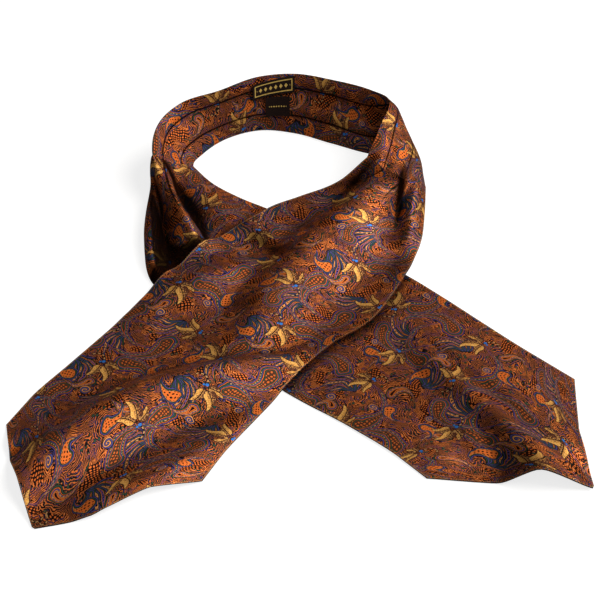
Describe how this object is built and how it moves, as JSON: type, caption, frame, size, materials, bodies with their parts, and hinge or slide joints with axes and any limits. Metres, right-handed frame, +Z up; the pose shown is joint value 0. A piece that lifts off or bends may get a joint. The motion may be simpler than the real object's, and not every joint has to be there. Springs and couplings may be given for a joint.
{
  "type": "silk cravat",
  "caption": "Printed silk cravat: pleated neckband standing in a loop, two wide pointed blades crossed and laid flat in front.",
  "frame": {"origin": "centre of the outline seen from above, at the height of the table that the cravat rests on", "axes": "+Z up; -Y towards the pointed ends, the front; +X to the viewer's right; the neck loop is at +Y"},
  "size_m": [0.427, 0.4852, 0.0496],
  "materials": {
    "printed_silk": "lustrous printed silk twill",
    "woven_label": "matt woven damask with a gold border",
    "small_label": "matt woven tape"
  },
  "bodies": {
    "root": {"neckband": "printed_silk", "blade_upper": "printed_silk", "blade_under": "printed_silk", "label_woven": "woven_label", "label_small": "small_label"}
  },
  "joints": []
}
